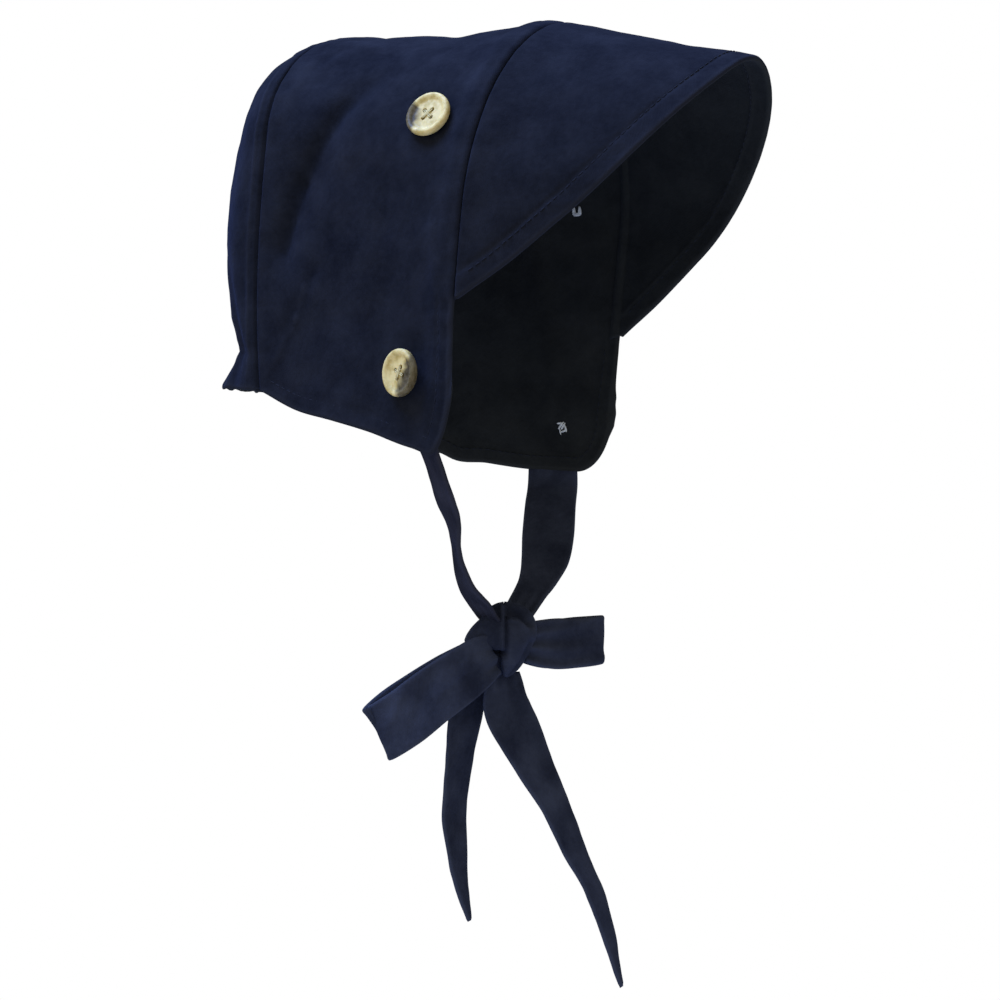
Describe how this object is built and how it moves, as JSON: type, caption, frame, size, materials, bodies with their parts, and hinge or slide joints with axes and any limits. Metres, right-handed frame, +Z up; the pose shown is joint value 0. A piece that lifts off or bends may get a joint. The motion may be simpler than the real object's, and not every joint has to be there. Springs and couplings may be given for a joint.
{
  "type": "child's brimmed cloth bonnet with ties",
  "caption": "Child's brimmed bonnet of brushed cotton, open at face and neck, with horn buttons at the sides and flat ties knotted in a bow below.",
  "frame": {"origin": "the inside of the crown at its top, on the middle plane, where the bonnet sits on a head", "axes": "+Z up as worn, -Y out of the face opening and along the brim, +X to the wearer's left"},
  "size_m": [0.1523, 0.2303, 0.3869],
  "materials": {
    "cloth": "brushed, matt",
    "horn": "marbled, semi-gloss"
  },
  "bodies": {
    "root": {"crown_panel": "cloth", "back_panel": "cloth", "brim": "cloth", "button_right_upper": "horn", "button_right_lower": "horn", "button_left_upper": "horn", "button_left_lower": "horn", "right_tie": "cloth", "left_tie": "cloth", "knot": "cloth", "right_loop": "cloth", "left_loop": "cloth", "right_tail": "cloth", "left_tail": "cloth"}
  },
  "joints": []
}
